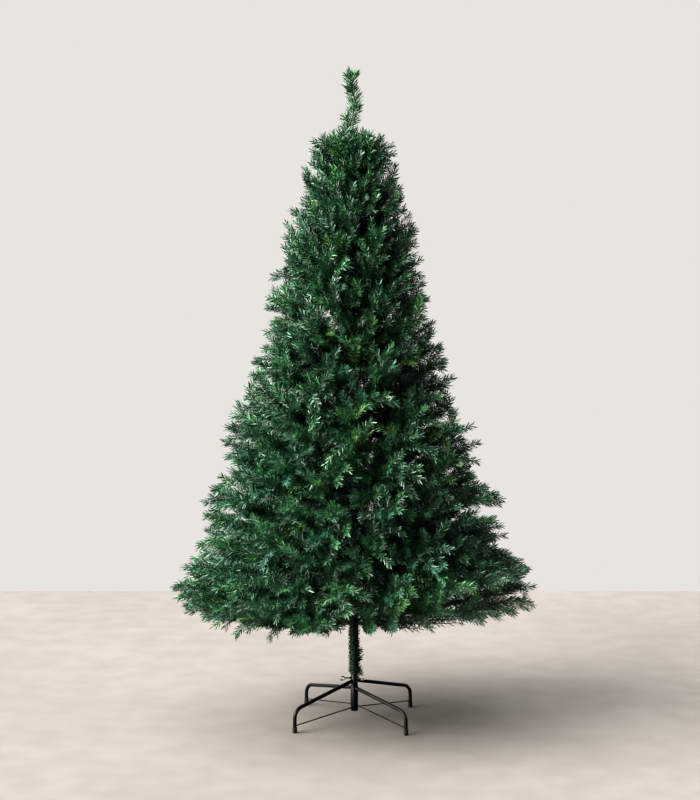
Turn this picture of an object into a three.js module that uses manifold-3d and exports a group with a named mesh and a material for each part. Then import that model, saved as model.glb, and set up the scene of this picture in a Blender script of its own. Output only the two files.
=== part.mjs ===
// An artificial fir on a folding steel stand, 2.1 m tall and 1.2 m across.
// A wrapped pole stands in a socket tube on four bent legs. Eight tiers of wire boughs carry the foliage.
// Units are millimetres, +Z is up, the floor is z = 0 and the pole's foot stands on the z axis.
// The front of the tree faces -Y, and +X is to its right.

import * as THREE from "three";
import { mergeVertices } from "three/addons/utils/BufferGeometryUtils.js";
import Module from "manifold-3d";

const wasm = await Module();
wasm.setup();

// The whole tree
const TREE_HEIGHT = 2100;
const CLEAR = 0.3; // gap between pieces that touch
const SAME_POINT = 1e-3; // corners closer than this are one
const degrees = Math.PI / 180;
const up = new THREE.Vector3(0, 0, 1);

// Pole: bare inside the socket, wrapped in green tinsel above it, thinner towards the top
const POLE_FOOT = 35;
const POLE_TOP = 1893;
const POLE_BARE_RADIUS = 9.3;
const WRAP_FOOT = 150;
const WRAP_RADIUS_LOW = 14.5;
const WRAP_RADIUS_HIGH = 8;
const POLE_SIDES = 12;
const POLE_LEAN = 12; // how far the tip stands to the left of the foot

// Crown: a cone that widens faster towards its skirt
const SHOULDER_HEIGHT = 1870;
const SHOULDER_RADIUS = 130;
const SKIRT_HEIGHT = 390;
const SKIRT_RADIUS = 622;
const CROWN_CURVE = 1.22; // 1 would be a straight-sided cone
const FOLIAGE_FLOOR = 262; // of the crown's underside, at the pole
const FLOOR_SLOPE = 0.1; // how fast the underside rises outwards
const TIP_OVERHANG = 12; // how far a tip may stand out of the cone

// Tiers, from the lowest to the highest
const MASSES_IN_TIER = [6, 5, 4, 3, 3, 3, 3, 2];
const SIDE_SPRAYS_IN_MASS = [6, 6, 5, 5, 5, 5, 4, 3];
const TIER_COUNT = MASSES_IN_TIER.length;
const LOWEST_ATTACH = 312;
const HIGHEST_ATTACH = 1730;
const LOWEST_RISE = 12 * degrees;
const HIGHEST_RISE = 50 * degrees;
const TIER_TURN = 41 * degrees; // each tier starts this much further round

// Boughs and twigs are wires, plain four-sided rods where the foliage hides them
const BOUGH_REACH = 120; // of the lowest boughs, from the pole's axis to the foliage
const BOUGH_RADIUS = 4.6;
const BOUGH_SIDES = 6;
const STEM_RADIUS = 4;
const SHOOT_RADIUS = 3.8;
const TWIG_SIDES = 4;
const SHOOT_SPREAD = 0.64; // share of a mass's half angle
const SIDE_SPRAYS = [
  [0, 1],
  [2, -1],
  [1, 1],
  [1, -1],
  [2, 1],
  [0, -1],
]; // the twig each one grows on (0 and 2 at the sides, 1 in the middle), and 1 for up or -1 for down

// A spray of needles: three toothed fins round a slim core, like the flights of a dart
const SPRAY_LENGTH = 235; // on the lowest tier
const SPRAY_SHRINK = 0.6; // share of that length on the highest tier
const SPRAY_RADIUS = 0.22; // share of its length
const SPRAY_CORE = 0.17; // share of its radius
const SPRAY_SINK = 5; // how far the last spray of a twig is sunk into its end
const SPRAY_PROFILE = [
  [0, 0],
  [1, 0.6],
  [0.5, 0.54],
  [0, 1],
]; // shares of the radius and of the length, from root to tip
// The dense middle of a mass, seen in an upright cut along its bough: shares of the reach, and of the
// height between the bottom and the top of the mass's space.
const CORE_CUT = [
  [0.07, 0.05],
  [0.46, 0.08],
  [0.6, 0.43],
  [0.47, 0.9],
  [0.07, 0.95],
];
const CORE_STEP = 30 * degrees; // between one such cut and the next
const CORE_SPREAD = 0.9; // share of a mass's half angle
const CORE_SIDE_SHRINK = 0.72; // of the cuts at its two sides
const SPACE_MARGIN = 6; // a mass keeps this far from the edge of its space

// Leader, the upright tip above the pole
const LEADER_RADIUS = 4;
const LEADER_SPRAYS = 8;
const LEADER_SPRAY_RISE = 62 * degrees;
const LEADER_SPRAY_LENGTH = 76;

// Stand
const STAND_TURN = 40.6 * degrees; // direction of the first leg, at the back right
const FOOT_RADIUS = 247;
const LEG_RADIUS = 5.9;
const LEG_SIDES = 8;
const ELBOW_RADIUS = 34;
const LEG_STEPS = 9; // the first and the last are straight, the others go round the elbow
const TUBE_OUTER = 10.8;
const TUBE_INNER = 9.6;
const TUBE_TOP = 147;
const SLEEVE_OUTER = 12.2;
const SLEEVE_INNER = 11.1;
const SLEEVE_TOP = 112;
const SLEEVE_FOOT = 31;
const SLEEVE_FLOOR = 3.5;
const ROUND_SIDES = 16;
const FOOT_CAP_OUTER = 7.3;
const FOOT_CAP_HEIGHT = 18;
const FOOT_CAP_FLOOR = 4;
const CAP_SIDES = 12;
const BRACE_RADIUS = 1.75;
const EYE_BOLT_HEIGHT = 138;
const EYE_BOLT_RADIUS = 2.3;
const EYE_CENTRE = 40; // from the tube's axis
const EYE_RING_RADIUS = 6.2;
const EYE_WIRE_RADIUS = 1.8;
const NUT_RADIUS = 4.6;
const NUT_HEIGHT = 3.5;
const BOLT_DIRECTIONS = [195, 315, 75]; // degrees: left, front right and back
const BOLT_ROLLS = [0, 90, 0]; // how far each ring is turned about its own screw

const black = new THREE.MeshStandardMaterial({ color: 0x0d0e0e, roughness: 0.42, metalness: 0.3 });
const rubber = new THREE.MeshStandardMaterial({ color: 0x080808, roughness: 0.7, metalness: 0 });
const zinc = new THREE.MeshStandardMaterial({ color: 0x5b5650, roughness: 0.35, metalness: 0.9 });
const wrap = new THREE.MeshStandardMaterial({ color: 0x10301a, roughness: 0.6, metalness: 0 });
const wire = new THREE.MeshStandardMaterial({ color: 0x1b3320, roughness: 0.5, metalness: 0.1 });
const needles = new THREE.MeshStandardMaterial({ color: 0x1d5a33, roughness: 0.45, metalness: 0 });

const tree = new THREE.Group();
const stand = new THREE.Group();
const crown = new THREE.Group();
tree.add(stand, crown);

const mix = (a, b, t) => a + (b - a) * t;

// A named piece of the tree, in one of its groups.
function addPiece(group, name, solid, material) {
  const mesh = new THREE.Mesh(geometryOf(solid), material);
  mesh.name = name;
  group.add(mesh);
  return mesh;
}

// A closed surface as a solid that can be joined and cut.
function solidOf(geometry) {
  const bare = geometry.clone();
  bare.deleteAttribute("normal");
  bare.deleteAttribute("uv");
  const merged = mergeVertices(bare, SAME_POINT);
  return new wasm.Manifold(
    new wasm.Mesh({
      numProp: 3,
      vertProperties: merged.attributes.position.array,
      triVerts: new Uint32Array(merged.index.array),
    }),
  );
}

function geometryOf(solid) {
  const mesh = solid.getMesh();
  return new THREE.BufferGeometry()
    .setAttribute("position", new THREE.BufferAttribute(mesh.vertProperties, 3))
    .setIndex(new THREE.BufferAttribute(mesh.triVerts, 1));
}

const joined = (solids) => solids.reduce((whole, piece) => whole.add(piece));

// The outer skin of a solid's largest piece: hollows sealed inside are filled and loose scraps are dropped.
function settled(solid) {
  const shells = solidOf(geometryOf(solid)).decompose();
  return shells.reduce((best, next) => (next.volume() > best.volume() ? next : best));
}

// The point at a distance from the z axis, in a direction round it and at a height.
function around(distance, direction, height) {
  return new THREE.Vector3(
    distance * Math.cos(direction),
    distance * Math.sin(direction),
    height,
  );
}

// A straight tapering rod between two points.
function rod(from, to, radiusFrom, radiusTo, sides) {
  const along = to.clone().sub(from);
  const geometry = new THREE.CylinderGeometry(radiusTo, radiusFrom, along.length(), sides);
  const turn = new THREE.Quaternion().setFromUnitVectors(
    new THREE.Vector3(0, 1, 0),
    along.clone().normalize(),
  );
  geometry.applyQuaternion(turn);
  geometry.translate(...from.clone().add(to).multiplyScalar(0.5));
  return solidOf(geometry);
}

// A solid of revolution about the z axis, from [radius, height] corners that start and end on the axis.
function turned(corners, sides) {
  const points = corners.map(([radius, height]) => new THREE.Vector2(radius, height));
  const geometry = new THREE.LatheGeometry(points, sides);
  geometry.rotateX(Math.PI / 2);
  return solidOf(geometry);
}

// An upright round bar on the z axis, and the same with a bore through it.
const post = (radius, foot, top) =>
  turned([[0, foot], [radius, foot], [radius, top], [0, top]], ROUND_SIDES);
const pipe = (outer, inner, foot, top) =>
  post(outer, foot, top).subtract(post(inner, foot - 5, top + 5));

// A small repeatable generator: the same seed always gives the same numbers, so the tree never changes.
function seeded(seed) {
  let state = (seed * 7919 + 104729) % 2147483647;
  return () => {
    state = (state * 48271) % 2147483647;
    return state / 2147483647;
  };
}

// Pole

const leanAt = (height) => (-POLE_LEAN * Math.max(0, height - WRAP_FOOT)) / (POLE_TOP - WRAP_FOOT);

function poleSolid(grow) {
  const middle = mix(WRAP_FOOT, POLE_TOP, 0.5);
  const middleRadius = mix(WRAP_RADIUS_LOW, WRAP_RADIUS_HIGH, 0.4);
  const straight = turned(
    [
      [0, POLE_FOOT - grow],
      [POLE_BARE_RADIUS + grow, POLE_FOOT - grow],
      [POLE_BARE_RADIUS + grow, WRAP_FOOT - grow],
      [WRAP_RADIUS_LOW + grow, WRAP_FOOT - grow],
      [middleRadius + grow, middle],
      [WRAP_RADIUS_HIGH + grow, POLE_TOP + grow],
      [0, POLE_TOP + grow],
    ],
    POLE_SIDES,
  );
  return straight.warp((point) => {
    point[0] += leanAt(point[2]);
  });
}

// Tiers: where the boughs of each leave the pole, how steeply they rise and how far they reach

function crownRadius(height) {
  const share = Math.max(0, (SHOULDER_HEIGHT - height) / (SHOULDER_HEIGHT - SKIRT_HEIGHT));
  return mix(SHOULDER_RADIUS, SKIRT_RADIUS, share ** CROWN_CURVE);
}

function tierOf(index) {
  const share = index / (TIER_COUNT - 1);
  const attach = mix(LOWEST_ATTACH, HIGHEST_ATTACH, share);
  const rise = mix(LOWEST_RISE, HIGHEST_RISE, share);
  let reach = 0;
  for (let pass = 0; pass < 12; pass++) {
    reach = mix(reach, crownRadius(attach + reach * Math.tan(rise)), 0.7);
  }
  return { index, share, attach, rise, reach, turn: index * TIER_TURN };
}

const tiers = MASSES_IN_TIER.map((_, index) => tierOf(index));

const heightInTier = (tier, distance) => tier.attach + distance * Math.tan(tier.rise);

// The heights between which a tier's foliage stays, at a distance from the pole's axis.
function bandOf(tier, distance) {
  const here = heightInTier(tier, distance);
  const below = tiers[tier.index - 1];
  const above = tiers[tier.index + 1];
  const underside = FOLIAGE_FLOOR + FLOOR_SLOPE * distance;
  const low = below ? mix(heightInTier(below, distance), here, 0.5) : underside;
  const high = above ? mix(here, heightInTier(above, distance), 0.5) : here + 70;
  return [low + SPACE_MARGIN, high - SPACE_MARGIN];
}

// Whether a point lies in the wedge of its tier that belongs to one mass.
function insideSpace(point, tier, direction, halfAngle) {
  const x = point.x - leanAt(point.z);
  const distance = Math.hypot(x, point.y);
  const [low, high] = bandOf(tier, distance);
  const aside = Math.atan2(
    point.y * Math.cos(direction) - x * Math.sin(direction),
    x * Math.cos(direction) + point.y * Math.sin(direction),
  );
  const edge = halfAngle - Math.asin(Math.min(1, SPACE_MARGIN / distance));
  const inCrown = distance < crownRadius(point.z) + TIP_OVERHANG;
  return point.z > low && point.z < high && Math.abs(aside) < edge && inCrown;
}

// Sprays

// Three fins and the three valleys between them, from 1 on a fin to 0 in a valley.
const finAt = (x, y) => (Math.sin(3 * Math.atan2(y, x)) + 1) / 2;

function spraySolid(length, matrix) {
  const radius = length * SPRAY_RADIUS;
  const round = turned(
    SPRAY_PROFILE.map(([out, along]) => [out * radius, along * length]),
    6,
  );
  const finned = round.warp((point) => {
    const width = mix(SPRAY_CORE, 1, finAt(point[0], point[1]));
    point[0] *= width;
    point[1] *= width;
  });
  return finned.transform(matrix.elements);
}

// The points of a spray's tip and of its teeth.
function sprayPoints(length, matrix) {
  const [out, along] = SPRAY_PROFILE[1];
  const teeth = [30, 150, 270].map((turn) =>
    around(out * length * SPRAY_RADIUS, turn * degrees, along * length),
  );
  return [new THREE.Vector3(0, 0, length), ...teeth].map((point) => point.applyMatrix4(matrix));
}

// The placing that carries a spray's own z axis along a direction, rolled about it.
function sprayMatrix(root, along, roll) {
  const side = new THREE.Vector3().crossVectors(up, along).normalize();
  const face = new THREE.Vector3().crossVectors(along, side);
  side.applyAxisAngle(along, roll);
  face.applyAxisAngle(along, roll);
  return new THREE.Matrix4().makeBasis(side, face, along).setPosition(root);
}

// A direction at an angle round the tree and an angle above the horizon.
const heading = (direction, rise) =>
  around(Math.cos(rise), direction, Math.sin(rise)).normalize();

// One mass: a main twig that forks into a shoot on each side. Each of the three ends in a spray, and more
// sprays stand up and down along them. They are all fused with the dense middle that they grow through.
function massSolid(tier, number, direction, halfAngle, boughTip, clearance) {
  const random = seeded(tier.index * 40 + number + 1);
  const inside = (point) => insideSpace(point, tier, direction, halfAngle);
  const axis = around(0, 0, tier.attach).setX(leanAt(tier.attach));
  const way = heading(direction, tier.rise);
  const start = boughTip ?? axis;
  const fork = axis.clone().addScaledVector(way, boughTip ? BOUGH_REACH + 45 : 36);
  const sprayLength = SPRAY_LENGTH * mix(1, SPRAY_SHRINK, tier.share);
  const twigs = [-1, 0, 1].map((hand) => {
    const turn = direction + hand * halfAngle * SHOOT_SPREAD;
    const distance = tier.reach * (1 - 0.05 * random());
    const lift = distance * ((hand ? -0.08 : 0.02) + 0.08 * (random() - 0.5));
    const tip = around(distance, turn, 0).add(axis);
    tip.z = heightInTier(tier, distance) + lift;
    const along = tip.clone().sub(fork);
    const woody = Math.max(along.length() - sprayLength, 10);
    along.normalize();
    const woodyTip = fork.clone().addScaledVector(along, woody);
    return { hand, along, tip: woodyTip, length: tip.distanceTo(fork) - woody };
  });

  const pieces = twigs.map((twig) =>
    rod(twig.hand ? fork : start, twig.tip, STEM_RADIUS, SHOOT_RADIUS, TWIG_SIDES),
  );
  pieces.push(coreSolid(tier, direction, halfAngle, random));
  const grow = (root, along, sweep, tilt, roll, length) => {
    const placed = fitSpray(root, along, sweep, tilt, roll, length, inside);
    if (placed) pieces.push(placed);
  };
  twigs.forEach((twig) => {
    const root = twig.tip.clone().addScaledVector(twig.along, -SPRAY_SINK);
    grow(root, twig.along, 0, 0, (random() - 0.5) * 70 * degrees, twig.length + SPRAY_SINK);
  });
  for (let side = 0; side < SIDE_SPRAYS_IN_MASS[tier.index]; side++) {
    const [twigNumber, hand] = SIDE_SPRAYS[side];
    const twig = twigs[twigNumber];
    const root = fork.clone().lerp(twig.tip, 0.4 + 0.45 * random());
    const inwards = twig.hand ? -twig.hand * (8 + 8 * random()) : (random() - 0.5) * 20;
    const tilt = hand * (22 + 16 * random()) * degrees;
    const roll = random() * 120 * degrees;
    grow(root, twig.along, -inwards * degrees, tilt, roll, sprayLength * (1 + 0.2 * random()));
  }
  return settled(joined(pieces).subtract(clearance));
}

// The dense middle of a mass: one cut repeated round the pole's axis, a little larger or smaller each time.
function coreSolid(tier, direction, halfAngle, random) {
  const steps = Math.max(2, Math.round((2 * halfAngle * CORE_SPREAD) / CORE_STEP));
  const ring = CORE_CUT.length;
  const positions = [];
  for (let step = 0; step <= steps; step++) {
    const turn = direction + (step / steps - 0.5) * 2 * halfAngle * CORE_SPREAD;
    const atSide = step === 0 || step === steps;
    const size = (atSide ? CORE_SIDE_SHRINK : 1) * (0.94 + 0.12 * random());
    for (const [out, lift] of CORE_CUT) {
      const distance = tier.reach * mix(0.3, out, size) * (0.95 + 0.1 * random());
      const [low, high] = bandOf(tier, distance);
      const height = mix(low, high, mix(0.5, lift, size));
      const point = around(distance, turn, height);
      positions.push(point.x + leanAt(height), point.y, height);
    }
  }
  const index = [];
  for (let step = 0; step < steps; step++)
    for (let side = 0; side < ring; side++) {
      const here = step * ring + side;
      const next = step * ring + ((side + 1) % ring);
      index.push(here, here + ring, next, next, here + ring, next + ring);
    }
  for (let side = 1; side < ring - 1; side++) {
    const last = steps * ring;
    index.push(0, side, side + 1, last, last + side + 1, last + side);
  }
  const geometry = new THREE.BufferGeometry()
    .setAttribute("position", new THREE.Float32BufferAttribute(positions, 3))
    .setIndex(index);
  return solidOf(geometry);
}

// A spray that would leave its mass's space is swung back and shortened a little, and then skipped.
function fitSpray(root, twig, sweep, tilt, roll, length, inside) {
  const round = Math.atan2(twig.y, twig.x);
  const rise = Math.asin(twig.z);
  for (const ease of [1, 0.8, 0.6, 0.4]) {
    const matrix = sprayMatrix(root, heading(round + sweep * ease, rise + tilt * ease), roll);
    const size = length * (sweep ? mix(0.75, 1, ease) : mix(0.6, 1, ease));
    if (sprayPoints(size, matrix).every(inside)) return spraySolid(size, matrix);
  }
  return null;
}

// Leader: the pole's own tip, with short sprays that point upwards all round it
function leaderSolid() {
  const foot = around(0, 0, POLE_TOP + CLEAR);
  foot.x = leanAt(POLE_TOP);
  const tip = foot.clone();
  tip.z = TREE_HEIGHT;
  const pieces = [rod(foot, tip, LEADER_RADIUS, 2, TWIG_SIDES)];
  const random = seeded(997);
  for (let spray = 0; spray < LEADER_SPRAYS; spray++) {
    const share = (spray + 0.3) / LEADER_SPRAYS;
    const root = foot.clone().lerp(tip, share * 0.66);
    const round = spray * 137.5 * degrees;
    const length = LEADER_SPRAY_LENGTH * (0.85 + 0.15 * random());
    pieces.push(spraySolid(length, sprayMatrix(root, heading(round, LEADER_SPRAY_RISE), 0)));
  }
  return settled(joined(pieces));
}

// Stand

// A leg's line, above the x axis: out and a little down, round the elbow, then down to the foot.
class LegLine extends THREE.Curve {
  constructor(startDistance, startHeight, slope, footHeight) {
    super();
    const corner = startHeight - (FOOT_RADIUS - startDistance) * Math.tan(slope);
    const bend = Math.PI / 2 - slope;
    this.bend = bend;
    this.centre = [FOOT_RADIUS - ELBOW_RADIUS, corner - ELBOW_RADIUS * Math.tan(bend / 2)];
    this.start = [startDistance, startHeight];
    this.end = [FOOT_RADIUS, footHeight];
  }
  getUtoTmapping(u) {
    return u;
  }
  onElbow(share) {
    const turn = this.bend * (1 - share);
    return [
      this.centre[0] + ELBOW_RADIUS * Math.cos(turn),
      this.centre[1] + ELBOW_RADIUS * Math.sin(turn),
    ];
  }
  getPoint(t) {
    const straight = 1 / LEG_STEPS;
    const between = (from, to, share) => [mix(from[0], to[0], share), mix(from[1], to[1], share)];
    let flat = this.onElbow((t - straight) / (1 - 2 * straight));
    if (t < straight) flat = between(this.start, this.onElbow(0), t / straight);
    if (t > 1 - straight) flat = between(this.end, this.onElbow(1), (1 - t) / straight);
    return new THREE.Vector3(flat[0], 0, flat[1]);
  }
}

const UPPER_LEGS = { seat: TUBE_OUTER, height: 127, slope: 13.3 * degrees, brace: 41.5 };
const LOWER_LEGS = { seat: SLEEVE_OUTER, height: 103, slope: 8.3 * degrees, brace: 50.5 };
const BRACE_FOOT_HEIGHT = 22.5;

function legSolid(pair) {
  const path = new LegLine(2, pair.height + 3, pair.slope, FOOT_CAP_FLOOR + CLEAR);
  const section = new THREE.Shape();
  section.absarc(0, 0, LEG_RADIUS, 0, Math.PI * 2);
  const geometry = new THREE.ExtrudeGeometry(section, {
    steps: LEG_STEPS,
    curveSegments: LEG_SIDES / 2,
    bevelEnabled: false,
    extrudePath: path,
  });
  return solidOf(geometry).subtract(post(pair.seat + CLEAR, 0, 200));
}

function capSolid() {
  const inner = LEG_RADIUS + CLEAR;
  return turned(
    [
      [0, 0],
      [FOOT_CAP_OUTER, 0],
      [FOOT_CAP_OUTER, FOOT_CAP_HEIGHT],
      [inner, FOOT_CAP_HEIGHT],
      [inner, FOOT_CAP_FLOOR],
      [0, FOOT_CAP_FLOOR],
    ],
    CAP_SIDES,
  );
}

function braceSolid(pair) {
  const inner = new THREE.Vector3(SLEEVE_OUTER + CLEAR, 0, pair.brace);
  const outer = new THREE.Vector3(FOOT_RADIUS - LEG_RADIUS - CLEAR, 0, BRACE_FOOT_HEIGHT);
  return rod(inner, outer, BRACE_RADIUS, BRACE_RADIUS, 6);
}

// The line of an eye-bolt's screw, at a distance from the tube's axis.
const screwLine = (distance) => new THREE.Vector3(distance, 0, EYE_BOLT_HEIGHT);

function tubeSolid() {
  const bore = post(TUBE_INNER, 0, 200);
  const wall = pipe(TUBE_OUTER, TUBE_INNER, SLEEVE_FOOT + SLEEVE_FLOOR + CLEAR, TUBE_TOP);
  const face = TUBE_OUTER + NUT_HEIGHT;
  const nut = rod(screwLine(TUBE_OUTER - 0.6), screwLine(face), NUT_RADIUS, NUT_RADIUS, 6);
  const holeRadius = EYE_BOLT_RADIUS + CLEAR;
  const hole = rod(screwLine(0), screwLine(face + 1), holeRadius, holeRadius, LEG_SIDES);
  return BOLT_DIRECTIONS.reduce((tube, turn) => {
    const outside = nut.subtract(bore).rotate([0, 0, turn]);
    return tube.add(outside).subtract(hole.rotate([0, 0, turn]));
  }, wall);
}

function sleeveSolid() {
  const floor = post(SLEEVE_OUTER, SLEEVE_FOOT, SLEEVE_FOOT + SLEEVE_FLOOR);
  return pipe(SLEEVE_OUTER, SLEEVE_INNER, SLEEVE_FOOT, SLEEVE_TOP).add(floor);
}

function eyeBoltSolid(roll) {
  const end = screwLine(EYE_CENTRE - EYE_RING_RADIUS + 0.5);
  const start = screwLine(POLE_BARE_RADIUS + CLEAR);
  const screw = rod(start, end, EYE_BOLT_RADIUS, EYE_BOLT_RADIUS, LEG_SIDES);
  const ring = new THREE.TorusGeometry(EYE_RING_RADIUS, EYE_WIRE_RADIUS, 5, 10);
  ring.rotateX(Math.PI / 2 + roll * degrees);
  ring.translate(...screwLine(EYE_CENTRE));
  return screw.add(solidOf(ring));
}

// Assembly

addPiece(stand, "stand_sleeve", sleeveSolid(), black);
addPiece(stand, "stand_tube", tubeSolid(), black);
for (let leg = 0; leg < 4; leg++) {
  const direction = STAND_TURN + (leg * Math.PI) / 2;
  const pair = leg % 2 ? LOWER_LEGS : UPPER_LEGS;
  addPiece(stand, `leg_${leg + 1}`, legSolid(pair), black).rotation.z = direction;
  addPiece(stand, `brace_${leg + 1}`, braceSolid(pair), black).rotation.z = direction;
  const cap = addPiece(stand, `foot_cap_${leg + 1}`, capSolid(), rubber);
  cap.position.copy(around(FOOT_RADIUS, direction, 0));
  cap.rotation.z = direction;
}
BOLT_DIRECTIONS.forEach((turn, index) => {
  const bolt = addPiece(stand, `eye_bolt_${index + 1}`, eyeBoltSolid(BOLT_ROLLS[index]), zinc);
  bolt.rotation.z = turn * degrees;
});

const pole = poleSolid(0);
const poleClearance = poleSolid(CLEAR);
addPiece(crown, "pole", pole, wrap);

for (const tier of tiers) {
  const count = MASSES_IN_TIER[tier.index];
  const halfAngle = Math.PI / count;
  for (let number = 0; number < count; number++) {
    const direction = tier.turn + number * 2 * halfAngle;
    const label = `${tier.index + 1}_${number + 1}`;
    let boughTip = null;
    let clearance = poleClearance;
    if (tier.index === 0) {
      const axis = around(0, 0, tier.attach).setX(leanAt(tier.attach));
      const way = heading(direction, tier.rise);
      boughTip = axis.clone().addScaledVector(way, BOUGH_REACH);
      const clearTip = boughTip.clone().addScaledVector(way, CLEAR);
      const bough = rod(axis, boughTip, BOUGH_RADIUS, STEM_RADIUS, BOUGH_SIDES);
      addPiece(crown, `bough_${label}`, bough.subtract(poleClearance), wire);
      clearance = clearance.add(
        rod(axis, clearTip, BOUGH_RADIUS + CLEAR, STEM_RADIUS + CLEAR, BOUGH_SIDES),
      );
    }
    const mass = massSolid(tier, number, direction, halfAngle, boughTip, clearance);
    addPiece(crown, `foliage_${label}`, mass, needles);
  }
}
addPiece(crown, "leader", leaderSolid(), needles);

export default tree;
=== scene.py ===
# %% [markdown]
# # An artificial fir on its steel stand
#
# The tree is 2.1 m tall and 1.2 m across. It has a black stand on four bent legs, a pole wound with
# green tinsel, wire boughs in eight tiers, and nearly five thousand short shoots with glossy
# plastic needles. The measured solid model comes in first and stays as it is. Every finished piece
# is then made in the same metres, around it, so that nothing has to be fitted by eye.

import math

import bmesh
import bpy
import numpy as np
from mathutils import Matrix, Vector


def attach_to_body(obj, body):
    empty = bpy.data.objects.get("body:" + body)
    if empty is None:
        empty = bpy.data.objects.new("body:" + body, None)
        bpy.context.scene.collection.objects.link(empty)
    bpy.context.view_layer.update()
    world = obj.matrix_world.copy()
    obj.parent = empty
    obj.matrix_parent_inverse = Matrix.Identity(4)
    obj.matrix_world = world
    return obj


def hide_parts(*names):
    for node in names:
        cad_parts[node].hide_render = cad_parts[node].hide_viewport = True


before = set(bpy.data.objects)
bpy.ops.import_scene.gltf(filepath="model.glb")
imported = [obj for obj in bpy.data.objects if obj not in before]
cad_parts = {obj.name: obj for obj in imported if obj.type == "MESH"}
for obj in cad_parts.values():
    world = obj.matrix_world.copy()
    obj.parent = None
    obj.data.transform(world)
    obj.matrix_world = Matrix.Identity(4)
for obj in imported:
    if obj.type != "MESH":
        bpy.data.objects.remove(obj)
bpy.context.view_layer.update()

# %% [markdown]
# ## The camera, the floor and the light
#
# The tree was photographed at about chest height from almost five metres away, looking a hair
# downwards. A longish lens keeps the feet of the stand and the tip at their true proportions. The
# floor is a plain pale sheet that ends where the wall of the room stands. One broad lamp shines
# from the front left, because the tree's left flank is bright and its right flank nearly black. A
# weaker one shines down like a pale ceiling, and the weakest comes back from the wall. The room
# itself is dim, a little less so on the left.

# %% Camera
EYE = (-0.0141, -4.856, 1.282)
LOOK_DOWN = math.radians(2.865)
LENS = 68.1
FILM_WIDTH = 36


def new_object(name, data):
    thing = bpy.data.objects.new(name, data)
    bpy.context.scene.collection.objects.link(thing)
    return thing


camera = new_object("camera", bpy.data.cameras.new("camera"))
camera.data.lens = LENS
camera.data.sensor_width = FILM_WIDTH
camera.location = EYE
camera.rotation_euler = (math.pi / 2 - LOOK_DOWN, 0, 0)
bpy.context.scene.camera = camera
print("camera", EYE, LENS, "mm")

# %% Floor
FLOOR_SIZE = 12
FLOOR_BEHIND = 2.37


def deselect():
    if bpy.context.object and bpy.context.object.mode != "OBJECT":
        bpy.ops.object.mode_set(mode="OBJECT")
    bpy.ops.object.select_all(action="DESELECT")


deselect()
bpy.ops.mesh.primitive_plane_add(size=FLOOR_SIZE, location=(0, FLOOR_BEHIND - FLOOR_SIZE / 2, 0))
floor = bpy.context.object
floor.name = "floor"
print("floor", FLOOR_SIZE, "m wide, up to", FLOOR_BEHIND, "m behind the tree")

# %% Lamps
LAMPS = [
    # name, direction, strength, width in degrees, colour
    ("window_left", (0.85, 0.36, -0.42), 13.0, 62, (1.0, 0.985, 0.96)),
    ("ceiling", (0.22, 0.05, -1.0), 4.4, 80, (0.96, 0.98, 1.0)),
    ("pale_wall_behind", (-0.15, -1.0, -0.35), 1.7, 90, (1.0, 0.98, 0.96)),
]
for name, direction, strength, width, colour in LAMPS:
    lamp = bpy.data.lights.new(name, "SUN")
    lamp.energy = strength
    lamp.angle = math.radians(width)
    lamp.color = colour
    holder = new_object(name, lamp)
    holder.rotation_euler = Vector(direction).to_track_quat("-Z", "Y").to_euler()
print(len(LAMPS), "lamps")

# %% Surroundings
BRIGHT_SIDE = (-0.72, -0.25, 0.65)
WALL_SEEN = (0.585, 0.565, 0.547, 1)
ROOM_LIGHT = (0.95, 0.98, 1.0, 1)
DIMMEST, BRIGHTEST = 0.009, 0.2


def add_node(tree, kind, settings=None, **inputs):
    """A shader node. Each input, with _ for a space, is joined to a socket or set to a value."""
    node = tree.nodes.new("ShaderNode" + kind)
    for name, value in (settings or {}).items():
        setattr(node, name, value)
    for name, value in inputs.items():
        socket = node.inputs[name.replace("_", " ")]
        if isinstance(value, bpy.types.NodeSocket):
            tree.links.new(value, socket)
        else:
            socket.default_value = value
    return node


world = bpy.data.worlds.new("pale_room")
bpy.context.scene.world = world
world.use_nodes = True
sky = world.node_tree
sky.nodes.clear()
towards = add_node(sky, "VectorMath", {"operation": "DOT_PRODUCT"})
sky.links.new(add_node(sky, "TexCoord").outputs["Generated"], towards.inputs[0])
towards.inputs[1].default_value = BRIGHT_SIDE
brightness = add_node(
    sky, "MapRange", {"interpolation_type": "SMOOTHSTEP"},
    Value=towards.outputs["Value"], From_Min=0.1, From_Max=1.0, To_Min=DIMMEST, To_Max=BRIGHTEST,
)
lit = add_node(sky, "Background", Color=ROOM_LIGHT, Strength=brightness.outputs["Result"])
seen = add_node(sky, "Background", Color=WALL_SEEN, Strength=1.0)
either = add_node(sky, "MixShader", Fac=add_node(sky, "LightPath").outputs["Is Camera Ray"])
sky.links.new(lit.outputs[0], either.inputs[1])
sky.links.new(seen.outputs[0], either.inputs[2])
add_node(sky, "OutputWorld", Surface=either.outputs[0])
bpy.context.scene.view_settings.view_transform = "Standard"
bpy.context.scene.view_settings.look = "High Contrast"
print("pale room round the floor")

# %% [markdown]
# ## Finishes
#
# Black paint shows on the stand, rubber on the feet and zinc on the eye bolts. The winding of the
# pole, the loose strips on it and the wires of the boughs have three greens. The film of the
# needles gets its own tones later, whose mottle also paints some needles lit and others shaded.
# Each real finish is uneven at its own scale. Two small node groups carry that, so that every
# finish can use them with its own numbers: one mottles a colour, the other makes fine grain for
# roughness and relief.

# %% Shared groups


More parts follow.
